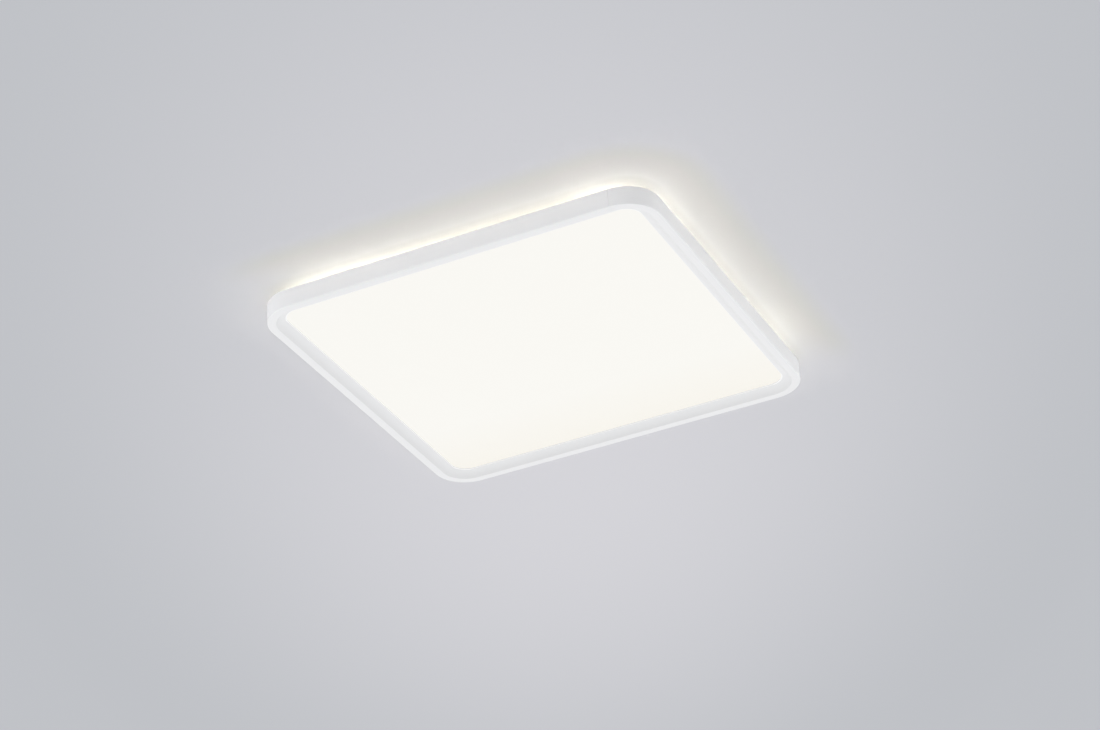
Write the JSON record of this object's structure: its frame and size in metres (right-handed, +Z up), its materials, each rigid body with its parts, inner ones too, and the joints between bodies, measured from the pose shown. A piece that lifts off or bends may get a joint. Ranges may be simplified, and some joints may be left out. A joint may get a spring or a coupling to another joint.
{
  "type": "flush mount ceiling light",
  "caption": "Slim square flush ceiling light with rounded corners, an opal panel in a coved frame, and a frosted band behind it that lights the ceiling.",
  "frame": {"origin": "centre of the bracket's two screw slots, on the ceiling plane", "axes": "+Z up into the ceiling; +X along the bracket and across the lamp; +Y towards the terminal box"},
  "size_m": [0.42, 0.42, 0.029],
  "materials": {
    "frame_white": "satin white powder coat",
    "opal_panel": "fine matt opal, lit from behind",
    "frosted_band": "frosted, lit from behind",
    "clear_acrylic": "polished clear sheet with printed dots",
    "reflector_white": "matt",
    "foam_white": "soft closed-cell foam",
    "foam_grey": "soft closed-cell foam",
    "board_white": "solder mask",
    "board_green": "solder mask",
    "led_yellow": "phosphor",
    "sheet_white": "white coated steel sheet",
    "zinc_steel": "bright zinc",
    "spring_steel": "bright",
    "rivet_aluminium": "plain",
    "tinned_copper": "tinned",
    "brass": "plain",
    "case_white": "fine spark-eroded grain",
    "block_grey": "moulded",
    "button_brown": "moulded",
    "button_blue": "moulded",
    "button_green": "moulded",
    "transformer_yellow": "wrapped in film",
    "capacitor_black": "sleeved",
    "copper_winding": "enamelled",
    "rubber_black": "moulded",
    "lead_brown": "insulation",
    "lead_blue": "insulation",
    "lead_green": "insulation",
    "lead_red": "insulation",
    "lead_black": "insulation",
    "lead_white": "insulation"
  },
  "bodies": {
    "bracket": {"ceiling_bracket": "zinc_steel", "earth_washer": "zinc_steel", "earth_screw": "brass"},
    "lamp": {"front_frame": "frame_white", "seam_plate": "spring_steel", "diffuser_panel": "opal_panel", "light_guide": "clear_acrylic", "reflector_sheet": "reflector_white", "foam_pad": "foam_white", "right_led_strip": "board_white", "left_led_strip": "board_white", "right_edge_leds": "led_yellow", "left_edge_leds": "led_yellow", "back_plate": "sheet_white", "back_plate_screws": "zinc_steel", "rear_pan": "sheet_white", "rear_pan_screws": "zinc_steel", "ceiling_gasket": "foam_grey", "backlight_strip": "board_white", "backlight_leds": "led_yellow", "backlight_lens": "frosted_band", "right_catch_spring": "spring_steel", "left_catch_spring": "spring_steel", "catch_rivets": "rivet_aluminium", "driver_case": "case_white", "driver_cover": "case_white", "driver_board": "board_green", "driver_transformer": "transformer_yellow", "driver_capacitors": "capacitor_black", "driver_choke": "copper_winding", "driver_screws": "zinc_steel", "terminal_box": "case_white", "terminal_box_screws": "zinc_steel", "lid_hinge_pin": "spring_steel", "terminal_block": "block_grey", "terminal_clamps": "brass", "cable_grommet": "rubber_black", "cable_clamp": "block_grey", "clamp_screws": "zinc_steel", "live_lead": "lead_brown", "neutral_lead": "lead_blue", "earth_lead": "lead_green", "earth_ring": "tinned_copper", "earth_nut": "zinc_steel", "earth_stud": "zinc_steel", "red_leads": "lead_red", "black_leads": "lead_black", "strip_jumper": "lead_white", "lead_grommet": "rubber_black", "lead_clip": "block_grey"},
    "lid": {"terminal_lid": "case_white"},
    "live_release": {"live_button": "button_brown"},
    "neutral_release": {"neutral_button": "button_blue"},
    "earth_release": {"earth_button": "button_green"}
  },
  "joints": [
    {"name": "lamp_release", "type": "slide", "parent": "bracket", "child": "lamp", "axis": [0, 0, -1], "range_m": [0, 0.06], "deforming": ["right_catch_spring", "left_catch_spring"]},
    {"name": "terminal_lid_hinge", "type": "hinge", "parent": "lamp", "child": "lid", "pos_m": [-0.075, 0.0968, -0.0034], "axis": [-1, 0, 0], "range_deg": [0, 110]},
    {"name": "live_button_press", "type": "slide", "parent": "lamp", "child": "live_release", "axis": [0, 0, -1], "range_m": [0, 0.0015], "stiffness_N_per_m": 400, "springref_m": -0.001},
    {"name": "neutral_button_press", "type": "slide", "parent": "lamp", "child": "neutral_release", "axis": [0, 0, -1], "range_m": [0, 0.0015], "stiffness_N_per_m": 400, "springref_m": -0.001},
    {"name": "earth_button_press", "type": "slide", "parent": "lamp", "child": "earth_release", "axis": [0, 0, -1], "range_m": [0, 0.0015], "stiffness_N_per_m": 400, "springref_m": -0.001}
  ]
}
